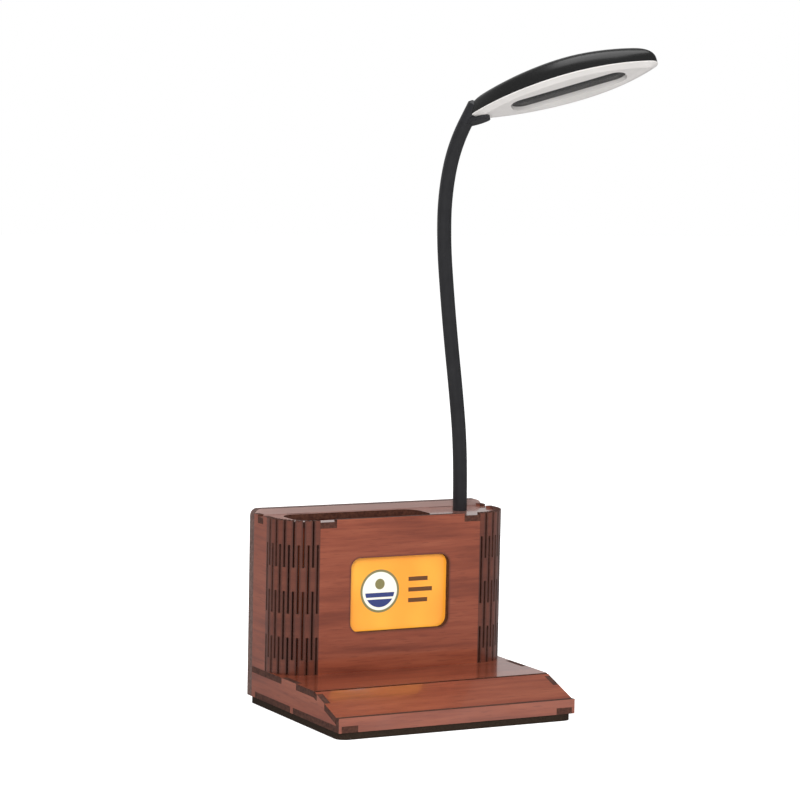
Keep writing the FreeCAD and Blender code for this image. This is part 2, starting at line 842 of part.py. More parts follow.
def make_switch_housing():
    """A flanged box pressed into the back panel, open outwards, with a pin across it for the rocker."""
    half_width_out = switch_cutout_width / 2 - slot_gap
    half_height_out = switch_cutout_height / 2 - slot_gap
    half_width_in = switch_cutout_width / 2 - switch_wall
    half_height_in = switch_cutout_height / 2 - switch_wall
    flange = box(switch_x - switch_flange_width / 2, switch_x + switch_flange_width / 2, rear,
                 rear + switch_flange_thickness, switch_z - switch_flange_height / 2,
                 switch_z + switch_flange_height / 2)
    body = box(switch_x - half_width_out, switch_x + half_width_out, rear - switch_depth, rear,
               switch_z - half_height_out, switch_z + half_height_out)
    well = box(switch_x - half_width_in, switch_x + half_width_in, rear - switch_depth + switch_floor,
               rear + switch_flange_thickness, switch_z - half_height_in, switch_z + half_height_in)
    pin = Part.makeCylinder(rocker_pin_radius, 2 * half_width_in,
                            Vector(switch_x - half_width_in, rocker_y, switch_z), Vector(1, 0, 0))
    return flange.fuse(body).cut(well).fuse(pin).removeSplitter()


def make_switch_rocker():
    """A shallow V-topped rocker on its pin, stored with its lower end pressed in."""
    half = switch_cutout_height / 2 - switch_wall - rocker_gap
    width = switch_cutout_width / 2 - switch_wall - rocker_gap
    top = rocker_rise + rocker_pin_depth
    shoulder = [Vector(0, rocker_skirt, half - 2 * rocker_taper), Vector(0, top, half - 3 * rocker_taper)]
    keel = Vector(0, -rocker_keel_depth, rocker_keel_half_width)
    points = [keel] + shoulder + [Vector(0, top - rocker_valley, 0)]
    points += [Vector(0, p.y, -p.z) for p in reversed([keel] + shoulder)]
    rocker = Part.Face(Part.makePolygon(points + points[:1])).extrude(Vector(2 * width, 0, 0))
    rocker.translate(Vector(-width, 0, 0))
    rocker = rocker.cut(Part.makeCylinder(rocker_pin_radius + running_gap, 2 * width,
                                          Vector(-width, 0, 0), Vector(1, 0, 0)))
    rocker.rotate(Vector(0, 0, 0), Vector(1, 0, 0), rocker_throw / 2)
    rocker.translate(Vector(switch_x, rocker_y, switch_z))
    return rocker


def terminal(step):
    """The switch's lower (-1) or upper (+1) terminal blade."""
    z = switch_z + step * terminal_spacing / 2
    return box(switch_x - terminal_width / 2, switch_x + terminal_width / 2,
               rear - switch_depth - terminal_length, rear - switch_depth,
               z - terminal_thickness / 2, z + terminal_thickness / 2)


def make_switch_terminals():
    return Part.makeCompound([terminal(-1), terminal(1)])


def make_driver_board():
    return box(driver_x - driver_width / 2, driver_x + driver_width / 2, driver_face,
               driver_face + driver_thickness, driver_z - driver_height / 2, driver_z + driver_height / 2)


def make_driver_tape():
    half_wide = driver_width / 2 - driver_tape_margin
    half_high = driver_height / 2 - driver_tape_margin
    return box(driver_x - half_wide, driver_x + half_wide, panel_front - driver_tape, panel_front,
               driver_z - half_high, driver_z + half_high)


def make_driver_parts():
    """A driver chip in the middle, a coil at the upper right and a row of resistors below."""
    chip = box(driver_x - chip_width / 2, driver_x + chip_width / 2,
               driver_face - chip_thickness, driver_face,
               driver_z - chip_height / 2, driver_z + chip_height / 2)
    coil = box(driver_x + driver_width / 2 - coil_width, driver_x + driver_width / 2,
               driver_face - coil_thickness, driver_face,
               driver_z + driver_height / 2 - coil_height, driver_z + driver_height / 2)
    pieces = [chip, coil]
    for i in range(resistor_count):
        x = driver_x + (i - (resistor_count - 1) / 2) * resistor_pitch
        z = driver_z - driver_height / 2 + pad_margin
        pieces.append(box(x - resistor_width / 2, x + resistor_width / 2, driver_face - resistor_thickness,
                          driver_face, z - resistor_height / 2, z + resistor_height / 2))
    return Part.makeCompound(pieces)


def looped_lead(start, end):
    """A flat lead that leaves start forwards, sags towards the front wall and comes back to end."""
    rest = Vector(end.x - start.x, 0, end.z - start.z) * lead_splay
    sag = Vector(0, lead_sag, 0)
    return flat_lead([start, start + rest - sag, end - rest - sag, end], lead_width, lead_thickness)


def terminal_end(step):
    """A point just inside a terminal's tip."""
    return Vector(switch_x, rear - switch_depth - terminal_length + lead_overlap,
                  switch_z + step * terminal_spacing / 2)


def make_jack_lead():
    """From the inlet's inner end up to the switch's lower terminal."""
    start = Vector(jack_x, rear - jack_length + lead_overlap, jack_z)
    return looped_lead(start, terminal_end(-1)).cut([make_power_jack(), terminal(-1)])


def make_switch_lead():
    """From the switch's upper terminal down to the left of the driver board."""
    end = Vector(driver_x - driver_width / 2 + pad_margin, driver_face + lead_overlap,
                 driver_z + driver_height / 2 - pad_margin)
    return looped_lead(terminal_end(1), end).cut([terminal(1), make_driver_board()])


def make_lamp_lead():
    """From the lower right of the driver board forwards, then up to the foot of the neck's stud."""
    end = Vector(neck_x, neck_y, plate_top - stud_length)
    start = Vector(neck_x, driver_face, driver_z - pad_margin)
    return flat_lead([start, Vector(neck_x, neck_y, start.z), end], lead_width, lead_thickness)


# ---------------------------------------------------------------- everything, one file per piece
nodes = {
    "base_pad": make_base_pad(),
    "bottom_plate": make_bottom_plate(),
    "base_side_left": make_base_side(-1),
    "base_side_right": make_base_side(1),
    "front_band": make_front_band(),
    "bevel_plate": make_bevel_plate(),
    "ledge_plate": make_ledge_plate(),
    "body_wall": make_body_wall(),
    "back_panel": make_back_panel(),
    "top_plate": make_top_plate(),
    "partition": make_partition(),
    "picture_plate": make_picture_plate(),
    "neck_stud": make_neck_stud(),
    "neck_nut": make_neck_nut(),
    "neck_socket": make_neck_socket(),
    "head_boss": make_head_boss(),
    "head_shell": make_head_shell(),
    "head_bezel": make_head_bezel(),
    "head_lens": make_head_lens(),
    "led_board": make_led_board(),
    "leds": make_leds(),
    "head_lead": make_head_lead(),
    "power_jack": make_power_jack(),
    "jack_pin": make_jack_pin(),
    "jack_nut": make_jack_nut(),
    "switch_housing": make_switch_housing(),
    "switch_rocker": make_switch_rocker(),
    "switch_terminals": make_switch_terminals(),
    "driver_board": make_driver_board(),
    "driver_tape": make_driver_tape(),
    "driver_parts": make_driver_parts(),
    "jack_lead": make_jack_lead(),
    "switch_lead": make_switch_lead(),
    "lamp_lead": make_lamp_lead(),
}
for link in range(link_count):
    nodes[f"neck_segment_{link + 1}"] = make_neck_segment(link)

os.makedirs("parts", exist_ok=True)
for name, shape in nodes.items():
    shape.exportStep(f"parts/{name}.step")
    size = shape.BoundBox
    print(f"{name:18s} solids {len(shape.Solids)} valid {shape.isValid()} volume {shape.Volume:9.1f}",
          f"x {size.XMin:.1f}..{size.XMax:.1f} y {size.YMin:.1f}..{size.YMax:.1f}",
          f"z {size.ZMin:.1f}..{size.ZMax:.1f}")
for link, (point, lean) in enumerate(starts):
    print(f"link {link + 1} starts at {point.x:.3f} {point.y:.3f} {point.z:.3f}, leaning {lean:.1f}")
print("lead bend radii", " ".join(f"{radius:.1f}" for radius in bend_radii))
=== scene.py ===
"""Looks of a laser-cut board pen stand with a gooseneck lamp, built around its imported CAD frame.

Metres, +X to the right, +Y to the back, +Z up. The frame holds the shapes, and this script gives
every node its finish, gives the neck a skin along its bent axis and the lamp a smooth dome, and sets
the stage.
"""
import math

import bmesh
import bpy
from mathutils import Matrix, Vector


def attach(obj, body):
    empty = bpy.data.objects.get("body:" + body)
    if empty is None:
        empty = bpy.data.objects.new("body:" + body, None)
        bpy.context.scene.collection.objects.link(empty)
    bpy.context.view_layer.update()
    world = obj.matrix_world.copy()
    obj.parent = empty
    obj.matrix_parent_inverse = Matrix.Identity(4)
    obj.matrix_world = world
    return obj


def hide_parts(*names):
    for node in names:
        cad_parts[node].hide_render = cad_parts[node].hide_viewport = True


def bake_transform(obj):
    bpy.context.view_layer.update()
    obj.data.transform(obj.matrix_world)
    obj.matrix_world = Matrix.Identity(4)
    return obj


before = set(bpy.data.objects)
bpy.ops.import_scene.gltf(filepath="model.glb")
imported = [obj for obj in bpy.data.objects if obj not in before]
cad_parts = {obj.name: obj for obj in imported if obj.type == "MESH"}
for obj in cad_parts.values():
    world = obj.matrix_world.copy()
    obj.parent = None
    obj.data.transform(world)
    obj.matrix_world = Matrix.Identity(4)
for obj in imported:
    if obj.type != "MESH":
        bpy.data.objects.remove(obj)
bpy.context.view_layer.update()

MM = 0.001

# ---------------------------------------------------------------- sizes shared with the CAD model
BODY_HALF_WIDTH = 62.5 * MM
WALL_FRONT = 11.5 * MM
CORNER_RADIUS = 18.0 * MM
HINGE_COLUMNS = 13
HINGE_PERIOD = 44.4 * MM
HINGE_BRIDGE = 11.4 * MM
HINGE_TOP_BRIDGE = 86.5 * MM
PLATE_TOP = 91.5 * MM
WINDOW_SIZE = (53.3 * MM, 36.0 * MM)
WINDOW_CORNER = 5.0 * MM
WINDOW_CENTRE_Z = 55.4 * MM
BEVEL_ANGLE = math.atan2(8.0, 23.3)
NECK_FOOT = Vector((42.0, 30.0, 91.5)) * MM
NECK_RADIUS = 3.5 * MM
LAMP_AZIMUTH = math.radians(-40.0)
LINK_LENGTH = 24.0 * MM
LINK_TURNS = (-2.0, -4.0, -1.0, 1.0, 1.0, 5.0, 10.0, 16.0)
HEAD_PITCH = math.radians(17.0)
HEAD_ROLL = math.radians(17.4)
HEAD_RISE = 3.1 * MM
HEAD_TAIL = 1.5 * MM
HEAD_TIP = 96.0 * MM
HEAD_WIDEST = 53.0 * MM
HEAD_HALF_WIDTH = 19.0 * MM
HEAD_TAIL_RADIUS = 5.0 * MM
HEAD_TIP_RADIUS = 5.5 * MM
HEAD_HEIGHT = 12.8 * MM
HEAD_ARCH = 0.3
HEAD_SECTION = 0.77
POCKET_WALL = 2.2 * MM
POCKET_HEIGHT = 5.0 * MM

# ---------------------------------------------------------------- fineness of the meshes made here
SKIN_RINGS = 24
SKIN_SIDES = 40
LEAF_STEPS = 48
DOME_LEVELS = 28
DOME_EASE = 0.9
SMOOTHED_BELOW = math.radians(40.0)

# ---------------------------------------------------------------- camera, as the photograph was taken
CAMERA_AZIMUTH = math.radians(-27.694)
CAMERA_ELEVATION = math.radians(5.204)
CAMERA_ROLL = math.radians(1.159)
CAMERA_DISTANCE = 1.36958
CAMERA_TARGET = Vector((-0.0022, 0.0115, 0.14887))
CAMERA_LENS = 128.72
CAMERA_SENSOR = 36.0

# ---------------------------------------------------------------- light
FLOOR_SIZE = 6.0
FLOOR_GLOW = 0.52
PAPER = (0.86, 0.86, 0.86)
PAPER_IN_GLOSS = (0.2, 0.2, 0.2)
WHITE = (1.0, 1.0, 1.0)
WORLD_STRENGTH = 0.62
GLOSS_BEHIND = 0.55
GLOSS_AROUND = 0.10
# Gloss sees a brighter world behind the object and below a height: parts of the direction's Y and Z.
BEHIND_FROM_TO = (0.3, 0.9)
HIGH_FROM_TO = (0.25, 0.7)
LIGHTS = (
    # name, place, what it points at, width and height, watts, whether gloss mirrors it
    ("key", (-1.0, -1.5, 0.8), (0.0, 0.0, 0.1), (0.9, 0.9), 31.5, False),
    ("top", (0.1, 0.1, 1.5), (0.0, 0.0, 0.1), (1.2, 1.2), 9.0, True),
    ("right", (1.4, -0.6, 0.7), (0.0, 0.0, 0.15), (0.8, 1.0), 6.0, False),
)


# ---------------------------------------------------------------- node graphs
class Nodes:
    """Short calls that add nodes to a tree. A value is a number, a colour, a vector or a socket."""

    def __init__(self, tree):
        self.tree = tree
        self._coordinates = None

    def link(self, value, socket):
        if isinstance(value, bpy.types.NodeSocket):
            self.tree.links.new(value, socket)
        elif isinstance(value, tuple) and len(value) == 3 and socket.type == "RGBA":
            socket.default_value = (*value, 1.0)
        else:
            socket.default_value = value

    def add(self, kind, *inputs, **settings):
        """A new node with its settings, and with inputs given as pairs of name or index and value."""
        node = self.tree.nodes.new("ShaderNode" + kind)
        for key, value in settings.items():
            setattr(node, key, value)
        for key, value in inputs:
            self.link(value, node.inputs[key])
        return node

    def math(self, operation, a, b=0.0):
        return self.add("Math", (0, a), (1, b), operation=operation).outputs[0]

    def times(self, first, *others):
        for other in others:
            first = self.math("MULTIPLY", first, other)
        return first

    def minus(self, a, b):
        return self.math("SUBTRACT", a, b)

    def inverse(self, share):
        """1 where the share is 0, and 0 where it is 1."""
        return self.minus(1.0, share)

    def absolute(self, value):
        return self.math("ABSOLUTE", value)

    def above(self, value, limit):
        """1 where value is above the limit, else 0."""
        return self.math("GREATER_THAN", value, limit)

    def below(self, value, limit):
        """1 where value is below the limit, else 0."""
        return self.math("LESS_THAN", value, limit)

    def length(self, a, b):
        """Length of a flat vector with the parts a and b."""
        return self.math("SQRT", self.math("ADD", self.times(a, a), self.times(b, b)))

    def smooth(self, value, low, high):
        """0 below low, 1 above high, smooth between."""
        return self.add("MapRange", ("Value", value), ("From Min", low), ("From Max", high),
                        interpolation_type="SMOOTHSTEP").outputs["Result"]

    def position(self):
        if self._coordinates is None:
            self._coordinates = self.add("TexCoord").outputs["Object"]
        return self._coordinates

    def normal(self):
        return self.add("NewGeometry").outputs["True Normal"]

    def axes(self, vector=None):
        """The three parts of a vector, or of the place on the piece."""
        return self.add("SeparateXYZ", (0, self.position() if vector is None else vector)).outputs

    def dot(self, a, b):
        return self.add("VectorMath", (0, a), (1, b), operation="DOT_PRODUCT").outputs["Value"]

    def stretched(self, scale):
        """The place on the piece, with a scale for each axis."""
        return self.add("VectorMath", (0, self.position()), (1, scale),
                        operation="MULTIPLY").outputs["Vector"]

    def noise(self, scale, detail=3.0, roughness=0.5, vector=None, distortion=0.0):
        source = self.position() if vector is None else vector
        return self.add("TexNoise", ("Vector", source), ("Scale", scale), ("Detail", detail),
                        ("Roughness", roughness), ("Distortion", distortion)).outputs["Fac"]

    def cells(self, scale, **settings):
        """Distance to the nearest cell's middle, or to its edge where the settings say so."""
        return self.add("TexVoronoi", ("Vector", self.position()), ("Scale", scale),
                        **settings).outputs["Distance"]

    def ramp(self, value, *stops):
        node = self.add("ValToRGB", (0, value))
        elements = node.color_ramp.elements
        while len(elements) < len(stops):
            elements.new(0.5)
        for element, (place, colour) in zip(elements, stops):
            element.position = place
            element.color = (*colour, 1.0)
        return node.outputs[0]

    def mix(self, share, a, b):
        """A colour mixed between two others."""
        return self.add("Mix", (0, share), (6, a), (7, b), data_type="RGBA").outputs[2]

    def blend(self, share, a, b):
        """A plain number mixed between two others."""
        return self.add("Mix", (0, share), (2, a), (3, b), data_type="FLOAT").outputs[0]


class Finish(Nodes):
    """A material with one shader, whose inputs are set by name."""

    def __init__(self, name, **values):
        self.material = bpy.data.materials.new(name)
        self.material.use_nodes = True
        super().__init__(self.material.node_tree)
        self.shader = self.tree.nodes["Principled BSDF"]
        self.set(**values)

    def set(self, **values):
        for key, value in values.items():
            self.link(value, self.shader.inputs[key.replace("_", " ")])

    def bump(self, height, distance, strength):
        node = self.add("Bump", ("Height", height), ("Distance", distance), ("Strength", strength))
        self.set(Normal=node.outputs[0])


# ---------------------------------------------------------------- finishes of the boards
RED_BROWN_DARK = (0.135, 0.026, 0.012)
RED_BROWN = (0.222, 0.049, 0.022)
RED_BROWN_LIGHT = (0.285, 0.076, 0.036)
BURNT = (0.045, 0.014, 0.009)
BURNT_LIGHT = (0.095, 0.034, 0.020)
BROWNED = (0.085, 0.050, 0.042)
BROWNED_LIGHT = (0.170, 0.100, 0.085)
# Painted reflection: the pale tint that mirrored white surroundings give the lacquer.
PAINTED_SHEEN_COLOUR = (0.44, 0.36, 0.34)

# Noise scales are per metre. Along a board's grain they are multiplied by ALONG_GRAIN.
BAND_SCALE = 90.0
STREAK_SCALE = 420.0
STREAK_SHARE = 0.38
PORE_SCALE = 1500.0
PORE_EDGE = (0.33, 0.43)
PORE_DEPTH = 0.5
SCORCH_SCALE = 700.0
GRAIN_SCALE = 500.0
FIBRE_SCALE = 2200.0
# Scale of the clouds in the painted sheen.
PAINTED_SHEEN_SCALE = 60.0
ALONG_GRAIN = 0.07
FLAT_FACE = 0.9
BENT_FACE = 0.8
PRINT_ROUGHNESS = 0.38
EDGE_ROUGHNESS = 0.75
PRINT_RELIEF = 0.25

HINGE_SMOKE = (0.62, 0.92)
HINGE_MARGIN = 1.2 * MM
SLIT_SMOKE = (0.45 * MM, 1.7 * MM)
SLIT_END = (-0.4 * MM, 0.6 * MM)
WINDOW_SMOKE = 0.55
WINDOW_SMOKE_WIDTH = 1.4 * MM
# How far the painted reflection pales the back panel's rim, the width of its soft lower edge, and which
# faces count as front.
RIM_PAINTED_SHEEN = 0.65
RIM_EDGE = 0.3 * MM
RIM_FRONT = -0.5


def wood_colour(graph, stretch):
    """Red-brown print: broad bands, finer streaks along the grain and short dark pores."""
    grain = graph.stretched(stretch)
    bands = graph.noise(BAND_SCALE, detail=4.0, roughness=0.55, vector=grain, distortion=0.6)
    streaks = graph.noise(STREAK_SCALE, roughness=0.6, vector=grain)
    pores = graph.noise(PORE_SCALE, detail=2.0, vector=grain)
    tone = graph.math("ADD", graph.times(bands, 1.0 - STREAK_SHARE), graph.times(streaks, STREAK_SHARE))
    colour = graph.ramp(tone, (0.34, RED_BROWN_DARK), (0.5, RED_BROWN), (0.68, RED_BROWN_LIGHT))
    dark = graph.times(graph.inverse(graph.smooth(pores, *PORE_EDGE)), PORE_DEPTH)
    return graph.mix(dark, colour, RED_BROWN_DARK)


def board_material(name, facing, stretch, soot=None, painted_sheen=None, edges=(BURNT, BURNT_LIGHT)):
    """A laminated board: gloss print where facing says so, burnt brown on the laser-cut edges.

    soot and the sheen, if given, take the graph and give how far smoke has darkened the print and how
    far a painted sheen, a painted reflection of pale surroundings, has paled it.
    """
    graph = Finish(name)
    face = facing(graph)
    print_colour = wood_colour(graph, stretch)
    if soot:
        print_colour = graph.mix(soot(graph), print_colour, BURNT)
    if painted_sheen:
        # Painted reflection: a pale sheen mixed into the print colour.
        print_colour = graph.mix(painted_sheen(graph), print_colour, PAINTED_SHEEN_COLOUR)
    scorch = graph.noise(SCORCH_SCALE, detail=4.0, roughness=0.6)
    edge_colour = graph.ramp(scorch, (0.35, edges[0]), (0.7, edges[1]))
    grain = graph.noise(GRAIN_SCALE, detail=2.0, vector=graph.stretched(stretch))
    fibres = graph.noise(FIBRE_SCALE, roughness=0.7)
    relief = graph.blend(face, fibres, graph.times(grain, PRINT_RELIEF))
    graph.bump(relief, distance=0.05 * MM, strength=0.5)
    graph.set(Base_Color=graph.mix(face, edge_colour, print_colour),
              Roughness=graph.blend(face, EDGE_ROUGHNESS, PRINT_ROUGHNESS),
              Coat_Weight=face, Coat_Roughness=0.07)
    return graph.material


def flat_facing(axis):
    """For a flat board: a face is print when it looks along the board's own axis."""
    def facing(graph):
        return graph.above(graph.absolute(graph.dot(graph.normal(), axis)), FLAT_FACE)
    return facing


def corner_offset(graph):
    """How far the point is from the nearer corner's axis, outwards and forwards. X is mirrored."""
    x, y, _ = graph.axes()
    outwards = graph.minus(graph.absolute(x), BODY_HALF_WIDTH - CORNER_RADIUS)
    forwards = graph.minus(WALL_FRONT + CORNER_RADIUS, y)
    return outwards, forwards


def wall_facing(graph):
    """For the bent wall: print faces look square away from the wall's run, edges don't."""
    outwards, forwards = corner_offset(graph)
    side = graph.math("MAXIMUM", outwards, 0.0)
    front = graph.math("MAXIMUM", forwards, 0.0)
    normal = graph.axes(graph.normal())
    mirrored = graph.times(normal[0], graph.math("SIGN", graph.axes()[0]))
    away = graph.minus(graph.times(mirrored, side), graph.times(normal[1], front))
    return graph.above(graph.absolute(graph.math("DIVIDE", away, graph.length(side, front))), BENT_FACE)


def distance_to_multiple(graph, value, period):
    """How far value is from the nearest multiple of period."""
    share = graph.math("FRACT", graph.math("ADD", graph.math("DIVIDE", value, period), 0.5))
    return graph.times(graph.absolute(graph.minus(share, 0.5)), period)


def hinge_soot(graph):
    """Smoke over the hinge, thickest beside the slits of its two families and thinner elsewhere."""
    outwards, forwards = corner_offset(graph)
    z = graph.axes()[2]
    bend = math.pi / 2 * CORNER_RADIUS
    pitch = bend / (HINGE_COLUMNS - 1)
    run = graph.times(graph.math("ARCTAN2", forwards, outwards), CORNER_RADIUS)
    soot = 0.0
    for family in (0, 1):
        from_column = distance_to_multiple(graph, graph.minus(run, family * pitch), 2 * pitch)
        above_bridge = graph.minus(z, HINGE_TOP_BRIDGE - family * HINGE_PERIOD / 2)
        from_bridge = distance_to_multiple(graph, above_bridge, HINGE_PERIOD)
        slit = graph.smooth(from_bridge, HINGE_BRIDGE / 2 + SLIT_END[0], HINGE_BRIDGE / 2 + SLIT_END[1])
        beside = graph.inverse(graph.smooth(from_column, *SLIT_SMOKE))
        soot = graph.math("MAXIMUM", soot, graph.times(slit, beside))
    corner = graph.times(graph.above(run, -HINGE_MARGIN), graph.below(run, bend + HINGE_MARGIN),
                         graph.above(outwards, -HINGE_MARGIN), graph.above(forwards, -HINGE_MARGIN))
    return graph.times(graph.blend(soot, *HINGE_SMOKE), corner)


def window_soot(graph):
    """A thin smoked line round the picture window, whose corners are round."""
    x, _, z = graph.axes()
    beyond = []
    for place, size in ((x, WINDOW_SIZE[0]), (graph.minus(z, WINDOW_CENTRE_Z), WINDOW_SIZE[1])):
        past_straight = graph.minus(graph.absolute(place), size / 2 - WINDOW_CORNER)
        beyond.append(graph.math("MAXIMUM", past_straight, 0.0))
    fading = graph.smooth(graph.length(*beyond), WINDOW_CORNER, WINDOW_CORNER + WINDOW_SMOKE_WIDTH)
    return graph.times(graph.inverse(fading), WINDOW_SMOKE)


def wall_soot(graph):
    return graph.math("MAXIMUM", hinge_soot(graph), window_soot(graph))


def cloudy_painted_sheen(low, high):
    """An uneven painted sheen over a whole board: a painted reflection of pale surroundings."""
    def painted_sheen(graph):
        return graph.blend(graph.noise(PAINTED_SHEEN_SCALE, detail=2.0), low, high)
    return painted_sheen


def rim_painted_sheen(graph):
    """The front of the strip of back panel that stands above the top plate, paled by a painted
    reflection of pale surroundings.
    """
    strip = graph.smooth(graph.axes()[2], PLATE_TOP - RIM_EDGE, PLATE_TOP + RIM_EDGE)
    front = graph.below(graph.axes(graph.normal())[1], RIM_FRONT)
    return graph.times(strip, front, RIM_PAINTED_SHEEN)


# ---------------------------------------------------------------- the picture, from the window's middle
ORANGE = (0.955, 0.43, 0.045)
ORANGE_DEEP = (0.93, 0.33, 0.03)
CREAM = (0.86, 0.84, 0.74)
NAVY = (0.03, 0.045, 0.17)
OLIVE = (0.21, 0.19, 0.075)
BAR_BROWN = (0.12, 0.045, 0.01)
PRINT_CLOUD_SCALE = 25.0
PRINT_GRAIN_SCALE = 900.0
PRINT_EDGE = 0.1 * MM
EMBLEM_X = -9.5 * MM
EMBLEM_Z = 1.0 * MM
EMBLEM_RIM = 10.5 * MM
EMBLEM_RING = 9.3 * MM
EMBLEM_FIELD = 7.9 * MM
EMBLEM_WATERLINE = EMBLEM_Z - 0.8 * MM
EMBLEM_STRIPE = (EMBLEM_Z - 4.0 * MM, EMBLEM_Z - 3.0 * MM)
CREST_RISE = 3.4 * MM
CREST_RADIUS = 2.6 * MM
BARS_LEFT = 6.0 * MM
BAR_ENDS = (16.5 * MM, 19.0 * MM, 16.5 * MM)
BAR_FEET = (-5.4 * MM, -0.2 * MM, 5.0 * MM)
BAR_HEIGHT = 2.1 * MM


def picture_material():
    """A glossy orange print: a round emblem on the left and three dark bars on the right."""
    graph = Finish("picture_print", Roughness=0.22, Coat_Weight=1.0, Coat_Roughness=0.04)
    x, _, z = graph.axes()
    up = graph.minus(z, WINDOW_CENTRE_Z)

    def disc(radius, rise=0.0):
        """1 inside a circle round the emblem's middle, or round a point straight above it."""
        reach = graph.length(graph.minus(x, EMBLEM_X), graph.minus(up, EMBLEM_Z + rise))
        return graph.inverse(graph.smooth(reach, radius - PRINT_EDGE, radius + PRINT_EDGE))

    def band(value, low, high):
        """1 between low and high."""
        from_low = graph.smooth(value, low - PRINT_EDGE, low + PRINT_EDGE)
        from_high = graph.smooth(value, high - PRINT_EDGE, high + PRINT_EDGE)
        return graph.times(from_low, graph.inverse(from_high))

    layers = [
        (disc(EMBLEM_RIM), OLIVE), (disc(EMBLEM_RING), CREAM),
        (graph.times(disc(EMBLEM_FIELD), graph.below(up, EMBLEM_WATERLINE)), NAVY),
        (graph.times(disc(EMBLEM_FIELD), band(up, *EMBLEM_STRIPE)), CREAM),
        (disc(CREST_RADIUS, CREST_RISE), OLIVE),
    ]
    for end, foot in zip(BAR_ENDS, BAR_FEET):
        bar = graph.times(band(x, BARS_LEFT, end), band(up, foot, foot + BAR_HEIGHT))
        layers.append((bar, BAR_BROWN))
    glow = graph.noise(PRINT_CLOUD_SCALE, detail=2.0)
    colour = graph.ramp(glow, (0.35, ORANGE_DEEP), (0.62, ORANGE))
    for share, ink in layers:
        colour = graph.mix(share, colour, ink)
    graph.set(Base_Color=colour)
    graph.bump(graph.noise(PRINT_GRAIN_SCALE, detail=2.0), distance=0.01 * MM, strength=0.3)
    return graph.material


# ---------------------------------------------------------------- finishes of the small parts
CLOUD_SCALE = 60.0
CLOUD_LIGHTENS = 1.18
CLOUD_GLOSS = (0.85, 1.15)
TEXTURE_SCALE = 2600.0
FOAM_SCALE = 1800.0
FOAM_COLOURS = ((0.010, 0.006, 0.004), (0.028, 0.018, 0.012))
LENS_RIBS = 5200.0
LENS_SCALE = 300.0
LENS_COLOURS = ((0.03, 0.03, 0.035), (0.06, 0.06, 0.065))
TRACK_SCALE = 420.0
TRACK_EDGE = (0.02, 0.06)
MASK_OVER_COPPER = (0.05, 0.17, 0.07)
MASK = (0.012, 0.075, 0.028)
PHOSPHOR_SCALE = 800.0
LED_HOUSING = (0.80, 0.76, 0.60)
LED_PHOSPHOR = (0.85, 0.66, 0.16)
SLEEVE_CLOUD_SCALE = 150.0
SLEEVE_TEXTURE_SCALE = 3000.0
SLEEVE_COLOURS = ((0.012, 0.012, 0.0135), (0.021, 0.021, 0.023))


def moulded(name, colour, roughness, relief=0.01 * MM, coat=0.0, metallic=0.0):
    """Moulded plastic or painted metal: a faint texture, and a little unevenness in its gloss."""
    graph = Finish(name, Metallic=metallic, Coat_Weight=coat, Coat_Roughness=0.05)
    cloud = graph.noise(CLOUD_SCALE, detail=2.0)
    lighter = tuple(min(1.0, part * CLOUD_LIGHTENS) for part in colour)
    graph.set(Base_Color=graph.mix(cloud, colour, lighter),
              Roughness=graph.blend(cloud, *(roughness * share for share in CLOUD_GLOSS)))
    graph.bump(graph.noise(TEXTURE_SCALE, roughness=0.6), distance=relief, strength=0.4)
    return graph.material


def foam_material():
    """Closed-cell foam: matt black with small pores."""
    graph = Finish("pad_foam", Roughness=0.85, Specular_IOR_Level=0.2)
    pores = graph.cells(FOAM_SCALE)
    graph.set(Base_Color=graph.ramp(pores, (0.0, FOAM_COLOURS[0]), (0.6, FOAM_COLOURS[1])))
    graph.bump(pores, distance=0.08 * MM, strength=0.6)
    return graph.material


def lens_material():
    """A smoked window with ribs across the lamp, one in 1.2 mm."""
    graph = Finish("smoked_lens", Roughness=0.22, IOR=1.49, Specular_IOR_Level=0.15,
                   Transmission_Weight=0.8)
    ribs = graph.math("SINE", graph.times(graph.axes()[0], LENS_RIBS))
    graph.set(Base_Color=graph.mix(graph.noise(LENS_SCALE), *LENS_COLOURS))
    graph.bump(ribs, distance=0.02 * MM, strength=0.3)
    return graph.material


def circuit_material():
    """Green solder mask over faint copper tracks."""
    graph = Finish("circuit_board", Roughness=0.35, Coat_Weight=0.4)
    tracks = graph.smooth(graph.cells(TRACK_SCALE, feature="DISTANCE_TO_EDGE"), *TRACK_EDGE)
    graph.set(Base_Color=graph.mix(tracks, MASK_OVER_COPPER, MASK))
    graph.bump(tracks, distance=0.03 * MM, strength=0.5)
    return graph.material


def led_material():
    """Pale housings with yellow phosphor in them."""
    graph = Finish("led_chip", Roughness=0.4)
    spots = graph.noise(PHOSPHOR_SCALE, detail=2.0)
    graph.set(Base_Color=graph.ramp(spots, (0.4, LED_HOUSING), (0.6, LED_PHOSPHOR)))
    return graph.material


def neck_material():
    """Smooth black sleeve with a faint drawn texture."""
    graph = Finish("neck_steel", Roughness=0.42)
    graph.set(Base_Color=graph.mix(graph.noise(SLEEVE_CLOUD_SCALE), *SLEEVE_COLOURS))
    graph.bump(graph.noise(SLEEVE_TEXTURE_SCALE, detail=2.0), distance=0.01 * MM, strength=0.4)
    return graph.material


# ---------------------------------------------------------------- every CAD node's finish
def paint(node, material):
    """Gives a CAD node its finish. Its mesh stays as it is."""
    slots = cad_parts[node].data.materials
    slots.clear()
    slots.append(material)


